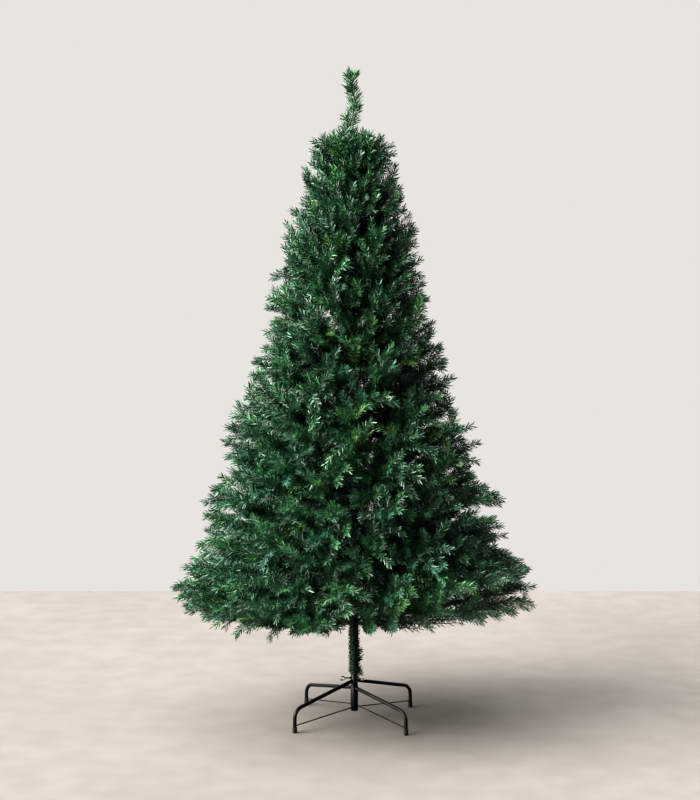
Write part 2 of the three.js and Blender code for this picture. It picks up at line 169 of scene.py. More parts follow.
def new_group(name, inputs, outputs):
    """An empty node group, its given values as sockets, and the sockets of its results."""
    group = bpy.data.node_groups.new(name, "ShaderNodeTree")
    for way, sockets in (("INPUT", inputs), ("OUTPUT", outputs)):
        for label, kind in sockets.items():
            group.interface.new_socket(name=label, in_out=way, socket_type="NodeSocket" + kind)
    given, results = (group.nodes.new("NodeGroup" + end) for end in ("Input", "Output"))
    return group, given.outputs, results.inputs


def mottle_group():
    inputs = {"Vector": "Vector", "Dark": "Color", "Light": "Color"}
    inputs |= {"Patches": "Float", "Flecks": "Float"}
    group, given, results = new_group("mottle", inputs, {"Colour": "Color"})
    both = add_node(group, "Math", {"operation": "ADD"})
    where = given["Vector"]
    for index, (scale, detail) in enumerate((("Patches", 2), ("Flecks", 1))):
        noise = add_node(group, "TexNoise", Vector=where, Scale=given[scale], Detail=detail)
        group.links.new(noise.outputs["Fac"], both.inputs[index])
    spread = add_node(group, "MapRange", Value=both.outputs[0], From_Min=0.75, From_Max=1.25)
    share = spread.outputs["Result"]
    colours = {"A": given["Dark"], "B": given["Light"]}
    blend = add_node(group, "Mix", {"data_type": "RGBA"}, Factor=share, **colours)
    group.links.new(blend.outputs["Result"], results["Colour"])
    return group


def grain_group():
    inputs = {"Vector": "Vector", "Grain": "Float", "Smoothest": "Float", "Roughest": "Float"}
    group, given, results = new_group("grain", inputs, {"Roughness": "Float", "Relief": "Float"})
    noise = add_node(group, "TexNoise", Vector=given["Vector"], Scale=given["Grain"], Detail=3)
    spread = add_node(
        group, "MapRange", Value=noise.outputs["Fac"], From_Min=0.35, From_Max=0.65,
        To_Min=given["Smoothest"], To_Max=given["Roughest"],
    )
    group.links.new(spread.outputs["Result"], results["Roughness"])
    group.links.new(noise.outputs["Fac"], results["Relief"])
    return group


MOTTLE = mottle_group()
GRAIN = grain_group()
print("node groups", MOTTLE.name, GRAIN.name)

# %% A finish from the two groups
BUMP_DEPTH = 0.0004


def finish(name, dark, light, scales, rough, bump=0.0, metallic=0.0, gloss=0.5):
    """A material. The scales are those of its patches, flecks and grain, in waves per metre."""
    material = bpy.data.materials.new(name)
    material.use_nodes = True
    tree = material.node_tree
    shader = tree.nodes["Principled BSDF"]
    shader.inputs["Metallic"].default_value = metallic
    shader.inputs["Specular IOR Level"].default_value = gloss
    where = add_node(tree, "TexCoord").outputs["Object"]
    mottle = add_node(
        tree, "Group", {"node_tree": MOTTLE},
        Vector=where, Dark=(*dark, 1), Light=(*light, 1), Patches=scales[0], Flecks=scales[1],
    )
    surface = add_node(
        tree, "Group", {"node_tree": GRAIN},
        Vector=where, Grain=scales[2], Smoothest=rough[0], Roughest=rough[1],
    )
    tree.links.new(mottle.outputs["Colour"], shader.inputs["Base Color"])
    tree.links.new(surface.outputs["Roughness"], shader.inputs["Roughness"])
    if bump:
        height = surface.outputs["Relief"]
        relief = add_node(tree, "Bump", Strength=bump, Distance=BUMP_DEPTH, Height=height)
        tree.links.new(relief.outputs["Normal"], shader.inputs["Normal"])
    return material


BLACK_PAINT = finish(
    "black_paint", (0.002, 0.002, 0.002), (0.005, 0.005, 0.005),
    (30, 700, 900), (0.3, 0.45), 0.25, gloss=0.22,
)
FOOT_RUBBER = finish(
    "foot_rubber", (0.003, 0.003, 0.003), (0.008, 0.008, 0.007),
    (60, 900, 1200), (0.62, 0.8), 0.4, gloss=0.3,
)
BOLT_ZINC = finish(
    "bolt_zinc", (0.17, 0.165, 0.155), (0.30, 0.29, 0.275),
    (120, 1500, 1500), (0.32, 0.5), 0.15, metallic=1.0,
)
TINSEL_WRAP = finish(
    "tinsel_wrap", (0.003, 0.011, 0.005), (0.008, 0.028, 0.011),
    (90, 900, 700), (0.5, 0.7), 0.6, gloss=0.3,
)
TINSEL_FILM = finish(
    "tinsel_film", (0.002, 0.010, 0.004), (0.006, 0.034, 0.011),
    (40, 300, 600), (0.45, 0.6), gloss=0.5,
)
BOUGH_WIRE = finish(
    "bough_wire", (0.012, 0.030, 0.012), (0.030, 0.050, 0.020),
    (60, 600, 800), (0.45, 0.6), 0.3,
)
FLOOR_SHEET = finish(
    "floor_sheet", (0.163, 0.149, 0.137), (0.181, 0.166, 0.153),
    (1.2, 9, 60), (0.7, 0.8), gloss=0.0,
)
floor.data.materials.append(FLOOR_SHEET)
print("7 plain finishes")

# %% [markdown]
# ## Tools for modelling
#
# Each piece starts as a primitive at its true size and is shaped in edit mode. What the next
# operator acts on is chosen by where it lies, with a small test on its middle, because nothing can
# be clicked in a script. At the end each piece is merged, faced outwards, given its finish and tied
# to the tree.

# %% Choosing and finishing
mm = 0.001
CLOSE = 0.01 * mm
ALL_NODES = sorted(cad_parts)
MIDDLE_OF = {
    "VERT": lambda corner: corner.co,
    "EDGE": lambda edge: (edge.verts[0].co + edge.verts[1].co) / 2,
    "FACE": lambda face: face.calc_center_median(),
}


def select(action="SELECT"):
    bpy.ops.mesh.select_all(action=action)


def pick(piece, kind, test):
    """Selects the corners, edges or faces whose middle passes a test."""
    bpy.ops.mesh.select_mode(type=kind)
    select("DESELECT")
    mesh = bmesh.from_edit_mesh(piece.data)
    for part in {"VERT": mesh.verts, "EDGE": mesh.edges, "FACE": mesh.faces}[kind]:
        if test(MIDDLE_OF[kind](part)):
            part.select_set(True)
    mesh.select_flush_mode()
    bmesh.update_edit_mesh(piece.data)


def edit(name):
    piece = bpy.context.object
    piece.name = name
    piece.data.name = name
    bpy.ops.object.transform_apply(location=True, rotation=True, scale=True)
    bpy.ops.object.mode_set(mode="EDIT")
    return piece


def settle(piece, sharp=35):
    bpy.ops.object.mode_set(mode="EDIT")
    select()
    bpy.ops.mesh.remove_doubles(threshold=CLOSE)
    bpy.ops.mesh.normals_make_consistent(inside=False)
    bpy.ops.object.mode_set(mode="OBJECT")
    bpy.ops.object.shade_smooth_by_angle(angle=math.radians(sharp))
    return piece


def belongs(piece, material, slot, *nodes):
    """Gives a piece its finish, ties it to the tree and hides the solids that it stands for."""
    piece.data.materials.clear()
    piece.data.materials.append(material)
    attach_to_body(piece, "root")
    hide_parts(*nodes)


def copy_of(piece, name, turn=0.0, shift=(0, 0, 0)):
    twin = new_object(name, piece.data.copy())
    twin.data.name = name
    twin.data.transform(Matrix.Translation(shift) @ Matrix.Rotation(turn, 4, "Z"))
    return twin


def extrude(shift):
    bpy.ops.mesh.extrude_region_move(TRANSFORM_OT_translate={"value": shift})


def round_edges(size, steps=2):
    bpy.ops.mesh.bevel(offset=size, segments=steps, affect="EDGES")


def wind(piece, pitch, turns, steps, weld=0.0):
    """Turns a profile about Z, rising by the pitch at every turn."""
    bpy.ops.object.mode_set(mode="OBJECT")
    helix = piece.modifiers.new("helix", "SCREW")
    helix.axis, helix.screw_offset, helix.iterations = "Z", pitch, turns
    helix.steps = helix.render_steps = steps
    helix.use_merge_vertices, helix.merge_threshold = weld > 0, weld
    bpy.ops.object.modifier_apply(modifier="helix")


print(len(ALL_NODES), "measured nodes")

# %% [markdown]
# ## The stand
#
# The stand is a socket tube inside a sleeve. Two round legs leave the tube and two leave the
# sleeve, a little lower, so that they fold flat against each other. A leg is one bar: straight and
# slightly down, round a tight elbow, then straight down into a rubber cap. It is made as it is bent
# in the workshop: a disc is pushed along the first straight, spun round the elbow and pushed down
# to the floor.

# %% Stand sizes
STAND_TURN = math.radians(40.6)
FOOT_RADIUS = 247 * mm
LEG_RADIUS = 5.9 * mm
ELBOW_RADIUS = 34 * mm
TUBE_OUTER = 10.8 * mm
TUBE_INNER = 9.6 * mm
TUBE_TOP = 147 * mm
SLEEVE_OUTER = 12.2 * mm
SLEEVE_INNER = 11.1 * mm
SLEEVE_TOP = 112 * mm
SLEEVE_FOOT = 31 * mm
CAP_RADIUS = 7.3 * mm
CAP_HEIGHT = 18 * mm
BRACE_RADIUS = 1.75 * mm
BRACE_FOOT = 22.5 * mm
WELD_DEPTH = 0.6 * mm
BAR_END = 4.3 * mm
LINE_START, LINE_ABOVE = 2 * mm, 3 * mm
UPPER = {"seat": TUBE_OUTER, "height": 127 * mm, "slope": math.radians(13.3), "brace": 41.5 * mm}
LOWER = {"seat": SLEEVE_OUTER, "height": 103 * mm, "slope": math.radians(8.3), "brace": 50.5 * mm}
print("feet stand", round(2 * FOOT_RADIUS, 3), "m apart across the pole")

# %% A leg


def make_leg(name, pair):
    slope = pair["slope"]
    bend = math.pi / 2 - slope
    start_x = pair["seat"] - WELD_DEPTH
    line_height = pair["height"] + LINE_ABOVE
    corner = line_height - (FOOT_RADIUS - LINE_START) * math.tan(slope)
    centre = Vector((FOOT_RADIUS - ELBOW_RADIUS, 0, corner - ELBOW_RADIUS * math.tan(bend / 2)))
    start = Vector((start_x, 0, line_height - (start_x - LINE_START) * math.tan(slope)))
    elbow = centre + ELBOW_RADIUS * Vector((math.cos(bend), 0, math.sin(bend)))
    deselect()
    tilt = (0, math.pi / 2 + slope, 0)
    bpy.ops.mesh.primitive_circle_add(
        vertices=20, radius=LEG_RADIUS, fill_type="NGON", location=start, rotation=tilt
    )
    leg = edit(name)
    select()
    extrude(elbow - start)
    bpy.ops.mesh.spin(steps=12, angle=bend, center=centre, axis=(0, -1, 0))
    extrude((0, 0, BAR_END - centre.z))
    return settle(leg)


upper_leg = make_leg("leg_1", UPPER)
lower_leg = make_leg("leg_2", LOWER)
print("a leg has", len(upper_leg.data.vertices), "corners")

# %% A brace and a cap
CAP_ROUNDING = 1.2 * mm
RIM_ROUNDING = 0.5 * mm


def make_rod(name, start, end, radius, sides):
    along = Vector(end) - Vector(start)
    deselect()
    bpy.ops.mesh.primitive_cylinder_add(
        vertices=sides, radius=radius, depth=along.length,
        location=(Vector(start) + Vector(end)) / 2,
        rotation=along.to_track_quat("Z", "Y").to_euler(),
    )
    return edit(name)


def make_brace(name, pair):
    start = (SLEEVE_OUTER, 0, pair["brace"])
    end = (FOOT_RADIUS - LEG_RADIUS, 0, BRACE_FOOT)
    brace = make_rod(name, start, end, BRACE_RADIUS, 10)
    select()
    bpy.ops.mesh.subdivide(number_cuts=1)
    return settle(brace)


def make_cap():
    deselect()
    bpy.ops.mesh.primitive_cylinder_add(
        vertices=28, radius=CAP_RADIUS, depth=CAP_HEIGHT, location=(0, 0, CAP_HEIGHT / 2)
    )
    cap = edit("foot_cap_1")
    pick(cap, "FACE", lambda middle: middle.z > CAP_HEIGHT - CLOSE)
    bpy.ops.mesh.inset(thickness=CAP_RADIUS - LEG_RADIUS - 0.1 * mm, depth=0)
    extrude((0, 0, -CAP_ROUNDING))
    pick(cap, "EDGE", lambda middle: middle.z < CLOSE)
    round_edges(CAP_ROUNDING, 3)
    rim = CAP_RADIUS - 0.3 * mm
    pick(cap, "EDGE", lambda middle: middle.z > CAP_HEIGHT - CLOSE and middle.xy.length > rim)
    round_edges(RIM_ROUNDING)
    return settle(cap)


upper_brace = make_brace("brace_1", UPPER)
lower_brace = make_brace("brace_2", LOWER)
cap = make_cap()
print("brace", len(upper_brace.data.vertices), "cap", len(cap.data.vertices), "corners")

# %% Four of each, turned into place
for number in range(1, 5):
    turn = STAND_TURN + (number - 1) * math.pi / 2
    foot = (FOOT_RADIUS * math.cos(turn), FOOT_RADIUS * math.sin(turn), 0)
    leg, brace = (upper_leg, upper_brace) if number % 2 else (lower_leg, lower_brace)
    for model, node, ending, material, slot, shift in (
        (leg, f"leg_{number}", "_bar", BLACK_PAINT, "stand_paint", (0, 0, 0)),
        (brace, f"brace_{number}", "_rod", BLACK_PAINT, "stand_paint", (0, 0, 0)),
        (cap, f"foot_cap_{number}", "_rubber", FOOT_RUBBER, "foot_rubber", foot),
    ):
        belongs(copy_of(model, node + ending, turn, shift), material, slot, node)
for model in (upper_leg, lower_leg, upper_brace, lower_brace, cap):
    bpy.data.objects.remove(model)
print("4 legs, 4 braces, 4 caps")

# %% [markdown]
# ## The socket
#
# The socket is two thin pipes, one in the other. A pipe starts as a cylinder: its top face is inset
# by the wall's thickness and pushed down to make the bore, and the rims are bevelled as a cut
# pipe's are. Three nuts are welded to the tube where the eye bolts screw in to grip the pole.

# %% Pipes
TUBE_FOOT, TUBE_FLOOR = 34.8 * mm, 36 * mm
SLEEVE_FLOOR = SLEEVE_FOOT + 3.5 * mm


def make_pipe(name, outer, inner, foot, top, floor_level):
    deselect()
    bpy.ops.mesh.primitive_cylinder_add(
        vertices=40, radius=outer, depth=top - foot, location=(0, 0, (top + foot) / 2)
    )
    pipe = edit(name)
    pick(pipe, "FACE", lambda middle: middle.z > top - CLOSE)
    bpy.ops.mesh.inset(thickness=outer - inner, depth=0)
    extrude((0, 0, floor_level - top))
    for level, rounding in ((top, 0.3 * mm), (foot, 0.5 * mm)):
        pick(pipe, "EDGE", lambda middle: abs(middle.z - level) < CLOSE)
        round_edges(rounding)
    return settle(pipe)


tube = make_pipe("socket_tube", TUBE_OUTER, TUBE_INNER, TUBE_FOOT, TUBE_TOP, TUBE_FLOOR)
sleeve = make_pipe(
    "socket_sleeve", SLEEVE_OUTER, SLEEVE_INNER, SLEEVE_FOOT, SLEEVE_TOP, SLEEVE_FLOOR
)
belongs(tube, BLACK_PAINT, "stand_paint", "stand_tube")
belongs(sleeve, BLACK_PAINT, "stand_paint", "stand_sleeve")
print("tube and sleeve")

# %% Eye bolts and their nuts
BOLT_HEIGHT = 138 * mm
EYE_CENTRE = 40 * mm
EYE_RING = 6.2 * mm
EYE_WIRE = 1.8 * mm
NUT_RADIUS, NUT_FACE = 4.6 * mm, TUBE_OUTER + 3.5 * mm
CORE_RADIUS = 2.3 * mm - 0.25 * mm
THREAD_PITCH = 1.0 * mm
THREAD_STEPS = 12
# where each bolt points and how far its eye is rolled, in degrees
BOLT_TURNS = [(195, 0), (315, 90), (75, 0)]


def make_nut():
    start = (TUBE_OUTER - WELD_DEPTH, 0, BOLT_HEIGHT)
    nut = make_rod("nut", start, (NUT_FACE, 0, BOLT_HEIGHT), NUT_RADIUS, 6)
    select()
    round_edges(0.35 * mm)
    return settle(nut)


def make_thread(name, start, end):
    deselect()
    bpy.ops.mesh.primitive_circle_add(
        vertices=3, radius=0.52 * THREAD_PITCH, fill_type="NOTHING", location=(0, 0, 0)
    )
    thread = edit(name)
    select()
    bpy.ops.transform.rotate(value=math.pi / 2, orient_axis="X", center_override=(0, 0, 0))
    bpy.ops.transform.translate(value=(CORE_RADIUS, 0, 0))
    wind(thread, THREAD_PITCH, int((end - start) / THREAD_PITCH), THREAD_STEPS)
    lie_down = Matrix.Rotation(math.pi / 2, 4, "Y")
    thread.data.transform(Matrix.Translation((start, 0, BOLT_HEIGHT)) @ lie_down)
    return thread


def make_eye_bolt(name, roll):
    start = TUBE_INNER
    end = EYE_CENTRE - EYE_RING + 0.5 * mm
    screw = make_rod(name, (start, 0, BOLT_HEIGHT), (end, 0, BOLT_HEIGHT), CORE_RADIUS, 12)
    select("DESELECT")
    bpy.ops.mesh.primitive_torus_add(
        major_radius=EYE_RING, minor_radius=EYE_WIRE, major_segments=28, minor_segments=10,
        location=(EYE_CENTRE, 0, BOLT_HEIGHT), rotation=(math.pi / 2 + math.radians(roll), 0, 0),
    )
    bpy.ops.object.mode_set(mode="OBJECT")
    thread = make_thread(name + "_thread", start + 4 * mm, end - 1.2 * mm)
    deselect()
    thread.select_set(True)
    screw.select_set(True)
    bpy.context.view_layer.objects.active = screw
    bpy.ops.object.join()
    return settle(screw, 50)


nut = make_nut()
for number, (degrees, roll) in enumerate(BOLT_TURNS, start=1):
    turn = math.radians(degrees)
    bolt = make_eye_bolt(f"eye_bolt_{number}_zinc", roll)
    bolt.data.transform(Matrix.Rotation(turn, 4, "Z"))
    belongs(bolt, BOLT_ZINC, "bolt_zinc", f"eye_bolt_{number}")
    belongs(copy_of(nut, f"welded_nut_{number}", turn), BLACK_PAINT, "stand_paint", "stand_tube")
bpy.data.objects.remove(nut)
print(len(BOLT_TURNS), "eye bolts")

# %% [markdown]
# ## The pole
#
# The pole is a steel tube with a green tinsel garland wound round it from the socket to the tip.
# The winding is one low hump that goes round and up, so a Screw modifier makes it: a short profile
# turns about the axis and rises by its own height at every turn. A lattice then draws the top in
# and leans it, as one would squeeze soft clay between two rings.

# %% Pole sizes
POLE_FOOT = 35 * mm
POLE_TOP = 1893 * mm
WRAP_FOOT = 150 * mm
WRAP_LOW = 14.5 * mm
WRAP_MIDDLE = 11.9 * mm
WRAP_HIGH = 8 * mm
POLE_BARE = 9.3 * mm
POLE_LEAN = 12 * mm
WINDING_PITCH = 8.3 * mm
WINDING_HUMP = 1.6 * mm
WINDING_STEPS = 16
CAGE_WIDTH = 40 * mm


def lean_at(height):
    return -POLE_LEAN * max(0.0, height - WRAP_FOOT) / (POLE_TOP - WRAP_FOOT)


print("the tip stands", round(-lean_at(POLE_TOP), 4), "m to the left of the foot")

# %% The winding


def make_winding():
    inner = WRAP_LOW - WINDING_HUMP
    first = WRAP_FOOT - WINDING_PITCH
    deselect()
    bpy.ops.mesh.primitive_circle_add(
        vertices=8, radius=WINDING_PITCH / 2,
        location=(inner, 0, first + WINDING_PITCH / 2), rotation=(math.pi / 2, 0, 0),
    )
    winding = edit("pole_winding")
    pick(winding, "VERT", lambda middle: middle.x < inner - 0.1 * mm)
    bpy.ops.mesh.delete(type="VERT")
    select()
    flat = WINDING_HUMP / (WINDING_PITCH / 2)
    bpy.ops.transform.resize(value=(flat, 1, 1), center_override=(inner, 0, first))
    turns = int((POLE_TOP - first) / WINDING_PITCH) + 2
    wind(winding, WINDING_PITCH, turns, WINDING_STEPS, 0.05 * mm)
    bpy.ops.object.mode_set(mode="EDIT")
    for height, side in ((WRAP_FOOT, 1), (POLE_TOP, -1)):
        select()
        plane = {"plane_co": (0, 0, height), "plane_no": (0, 0, side)}
        bpy.ops.mesh.bisect(**plane, use_fill=True, clear_inner=True)
    bpy.ops.object.mode_set(mode="OBJECT")
    return winding


def squeeze(piece):
    length = POLE_TOP - WRAP_FOOT
    bpy.ops.object.add(type="LATTICE", location=(0, 0, WRAP_FOOT + length / 2))
    cage = bpy.context.object
    cage.scale = (CAGE_WIDTH, CAGE_WIDTH, length)
    cage.data.points_u, cage.data.points_v, cage.data.points_w = 2, 2, 3
    cage.data.interpolation_type_w = "KEY_LINEAR"
    for point in cage.data.points:
        share = point.co.z + 0.5
        radius = {0.0: WRAP_LOW, 0.5: WRAP_MIDDLE, 1.0: WRAP_HIGH}[round(share, 1)]
        size = radius / WRAP_LOW
        lean = lean_at(WRAP_FOOT + share * length) / CAGE_WIDTH
        point.co_deform = (point.co.x * size + lean, point.co.y * size, point.co.z)
    deselect()
    piece.select_set(True)
    bpy.context.view_layer.objects.active = piece
    clay = piece.modifiers.new("squeeze", "LATTICE")
    clay.object = cage
    bpy.ops.object.modifier_apply(modifier="squeeze")
    bpy.data.objects.remove(cage)


winding = make_winding()
squeeze(winding)
settle(winding, 50)
belongs(winding, TINSEL_WRAP, "pole_wrap", "pole")
shaft = make_rod("pole_shaft", (0, 0, POLE_FOOT), (0, 0, WRAP_FOOT + 2 * mm), POLE_BARE, 32)
pick(shaft, "EDGE", lambda middle: middle.z < POLE_FOOT + 0.1 * mm)
round_edges(0.8 * mm)
settle(shaft)
belongs(shaft, BLACK_PAINT, "pole_wrap", "pole")
print(len(winding.data.polygons), "faces in the winding")

# %% [markdown]
# ## Where the boughs go
#
# Boughs are hinged on the pole in eight tiers. Each tier is shared out among a few masses of
# foliage, and each mass is one bough that forks into a middle twig and two side twigs. The solid
# model was grown by this rule with a small number generator, so the same rule with the same seeds
# is written here again, in millimetres. Everything finer then hangs on exactly the twigs that the
# solids have.

# %% The rule of the tiers
SHOULDER_HEIGHT, SHOULDER_RADIUS = 1870, 130
SKIRT_HEIGHT, SKIRT_RADIUS = 390, 622
CROWN_CURVE = 1.22
FOLIAGE_FLOOR, FLOOR_SLOPE = 262, 0.1
TREE_HEIGHT = 2100
MASSES_IN_TIER = [6, 5, 4, 3, 3, 3, 3, 2]
LOWEST_ATTACH, HIGHEST_ATTACH = 312, 1730
LOWEST_RISE, HIGHEST_RISE = math.radians(12), math.radians(50)
TIER_TURN = math.radians(41)
LOWEST_FORK, FORK = 165, 36
SHOOT_SPREAD = 0.64
SPRAY_LENGTH, SPRAY_SHRINK = 235, 0.6


def mix(a, b, share):
    return a + (b - a) * share


def seeded(seed):
    state = (seed * 7919 + 104729) % 2147483647

    def draw():
        nonlocal state
        state = (state * 48271) % 2147483647
        return state / 2147483647

    return draw


def crown_radius(height):
    share = np.clip((SHOULDER_HEIGHT - height) / (SHOULDER_HEIGHT - SKIRT_HEIGHT), 0, None)
    return mix(SHOULDER_RADIUS, SKIRT_RADIUS, share**CROWN_CURVE)


def tier_of(index):
    share = index / (len(MASSES_IN_TIER) - 1)
    attach = mix(LOWEST_ATTACH, HIGHEST_ATTACH, share)
    rise = mix(LOWEST_RISE, HIGHEST_RISE, share)
    reach = 0.0
    for _ in range(12):
        reach = mix(reach, crown_radius(attach + reach * math.tan(rise)), 0.7)
    return {"index": index, "share": share, "attach": attach, "rise": rise, "reach": reach}


def level_in(tier, distance):
    return tier["attach"] + distance * math.tan(tier["rise"])


def heading(direction, rise):
    level = math.cos(rise)
    return np.array([level * math.cos(direction), level * math.sin(direction), math.sin(rise)])


def lean_mm(height):
    return lean_at(height * mm) / mm


TIERS = [tier_of(index) for index in range(len(MASSES_IN_TIER))]
print(len(TIERS), "tiers reach", [round(tier["reach"]) for tier in TIERS], "mm")

# %% The bough and twigs of each mass
TWIG_POINTS = 15
UNDERSIDE, UNDERSIDE_SLOPE = 300, 0.18
BELOW_SHOULDER, FINER_BELOW_SHOULDER = 8, 15
SHORTER_FROM, SHORTER_OVER, SHORTER_BY = 0.7, 0.3, 0.26
FINER_TURN, FINER_WOODY = 0.3, 0.6
FINER_CORNERS = ((0.4, 0.8), (0.93, 0.62))
TOP_SPACE = 70


def bent(start, middle, end, count=TWIG_POINTS):
    """Points along a curve that leaves its start towards the middle point and bends to its end."""
    share = np.linspace(0, 1, count)[:, None]
    return (1 - share) ** 2 * start + 2 * share * (1 - share) * middle + share**2 * end


def twigs_of(tier, number):
    """A mass of foliage: where its bough leaves the pole and forks, and its three main twigs."""
    half = math.pi / MASSES_IN_TIER[tier["index"]]
    direction = tier["index"] * TIER_TURN + number * 2 * half
    random = seeded(tier["index"] * 40 + number + 1)
    axis = np.array([lean_mm(tier["attach"]), 0, tier["attach"]])
    fork = axis + heading(direction, tier["rise"]) * (FORK if tier["index"] else LOWEST_FORK)
    spray = SPRAY_LENGTH * mix(1, SPRAY_SHRINK, tier["share"])
    shorter = 1 - SHORTER_BY * np.clip((tier["share"] - SHORTER_FROM) / SHORTER_OVER, 0, 1)
    twigs = []
    for hand in (-1, 0, 1):
        turn = direction + hand * half * SHOOT_SPREAD
        distance = tier["reach"] * (1 - 0.05 * random())
        lift = distance * ((-0.08 if hand else 0.02) + 0.08 * (random() - 0.5))
        rise = distance * math.tan(tier["rise"]) + lift
        tip = axis + [distance * math.cos(turn), distance * math.sin(turn), rise]
        length = np.linalg.norm(tip - fork)
        woody = max(length - spray, 10) / length
        tip = mix(fork, tip, shorter)
        lowest = UNDERSIDE + UNDERSIDE_SLOPE * distance
        tip[2] = np.clip(tip[2], lowest, SHOULDER_HEIGHT - BELOW_SHOULDER)
        twigs.append({"line": bent(fork, (fork + tip) / 2, tip), "turn": turn, "woody": woody})
    name = f"{tier['index'] + 1}_{number + 1}"
    return {"name": name, "tier": tier, "half": half, "axis": axis, "fork": fork, "twigs": twigs}


def band_of(tier, distance):
    """The lowest and highest point of a tier's own space, at a distance from the pole."""
    index = tier["index"]
    here = level_in(tier, distance)
    low, high = FOLIAGE_FLOOR + FLOOR_SLOPE * distance, here + TOP_SPACE
    if index > 0:
        low = (level_in(TIERS[index - 1], distance) + here) / 2
    if index < len(TIERS) - 1:
        high = (level_in(TIERS[index + 1], distance) + here) / 2
    return low, high


def side_twigs(mass):
    """One finer twig above and one below each of the three, between it and its neighbour."""
    finer = []
    tier = mass["tier"]
    for twig in mass["twigs"]:
        for hand in (1, -1):
            turn = twig["turn"] + hand * FINER_TURN * mass["half"] * SHOOT_SPREAD
            corners = []
            for reach, share in FINER_CORNERS:
                distance = reach * tier["reach"]
                below, above = band_of(tier, distance)
                level = mix(level_in(tier, distance), above if hand > 0 else below, share)
                lowest = UNDERSIDE + UNDERSIDE_SLOPE * distance
                level = np.clip(level, lowest, SHOULDER_HEIGHT - FINER_BELOW_SHOULDER)
                across = distance * math.cos(turn) + mass["axis"][0]
                corners.append(np.array([across, distance * math.sin(turn), level]))
            line = bent(twig["line"][1], *corners)
            finer.append({"line": line, "turn": turn, "woody": FINER_WOODY})
    return finer


MASSES = [
    twigs_of(tier, number) for tier in TIERS for number in range(MASSES_IN_TIER[tier["index"]])
]
for mass in MASSES:
    mass["twigs"] += side_twigs(mass)
print(len(MASSES), "masses with", sum(len(mass["twigs"]) for mass in MASSES), "twigs")

# %% [markdown]
# ## Where the tips end
#
# On the real tree the fitter bends the tips apart until no gap is left, so their ends lie evenly
# over the cone, some a little in and some sticking out. Six skins of ends are laid out here in
# staggered rows, one inside the other: a full one at the cone's surface and looser ones that close
# the view to the pole. A few long strays break the outline at the sides, some ends hang below the
# crown, a curtain closes its underside near the pole, and a cap rounds off the top. Each end is
# then handed to one of the four twigs nearest to it. Outside that is mostly the nearest one, and
# inside the shoots cross, as they do when tips are bent.

# %% Ends in rows
GROWTH = np.random.default_rng(2102)
GOLDEN_TURN = 2.399963
SKINS = [
    # depth as a share of the cone, gaps across and along, looseness
    (1.0, 64, 51, 0.08),
    (0.8, 70, 58, 0.06),
    (0.6, 68, 56, 0.08),
    (0.38, 60, 50, 0.1),
    (0.19, 48, 44, 0.1),
    (0.1, 34, 35, 0.1),
]
MOST_IN, MOST_OUT = -0.18, 0.055
CLOSER_ABOVE, CLOSER_OVER, CLOSEST = 600, 1200, 0.72
SKIN_LIFT = 75
WIDEST_TIP = 592
FULL_AT = [380, 450, 600, 700, 900, 1100, 1300, 1480, 1600, 1760, 1880]
FULLNESS = [0.98, 0.93, 0.88, 0.94, 0.94, 0.93, 0.95, 1.04, 1.09, 1.06, 1.02]
SHIFT_AT, SHIFT = [420, 560, 800, 1150, 1600], [0, -20, -6, -18, 0]
CROWN_TOP = 1910
TIP_FLOOR, TIP_FLOOR_SLOPE, TIP_FLOOR_TILT = 320, 0.25, 46
RAGGED_BELOW, RAGGED_OVER = 620, 200


def tip_radius(height):
    """The cone, a little hollow in its middle and full at its shoulder, rounded off above that."""
    over = np.clip((height - SHOULDER_HEIGHT + 20) / (CROWN_TOP - SHOULDER_HEIGHT + 20), 0, 1)
    full = crown_radius(height) * np.interp(height, FULL_AT, FULLNESS)
    return min(full, WIDEST_TIP) * math.sqrt(1 - 0.9 * over**2)


def lumps(turn, height):
    """Swellings and hollows about twenty centimetres across."""
    slow = math.sin(3 * turn + height / 95 + 1.0) + math.sin(5 * turn - height / 60 + 2.2)
    return 0.022 * (slow + math.sin(2 * turn + height / 36 + 0.4))


def hang(out, turn):
    """The crown's underside hangs lower on the left of the pole than on its right."""
    return TIP_FLOOR_TILT * math.tanh(out * math.cos(turn) / 90)


def add_end(out, turn, level, depth=1.0, shifted=True):
    """Lays out an end. The crown leans with the pole and mostly stands a little left of it."""
    across = out * math.cos(turn)
    if shifted:
        across = across + lean_mm(level) + float(np.interp(level, SHIFT_AT, SHIFT))
    ENDS.append({"point": np.array([across, out * math.sin(turn), level]), "depth": depth})


def profile(depth):
    """A skin's outline as distance and height: under the crown, up the cone, over the top."""
    lift = (1 - depth) * SKIN_LIFT
    under = [
        (out, TIP_FLOOR + TIP_FLOOR_SLOPE * out + lift)
        for out in np.arange(50, WIDEST_TIP * depth, 20)
    ]
    side = [(tip_radius(z) * depth, z - lift) for z in np.arange(under[-1][1] + 20, CROWN_TOP, 10)]
    return np.array(under + side + [(35, CROWN_TOP + 6 - lift)])


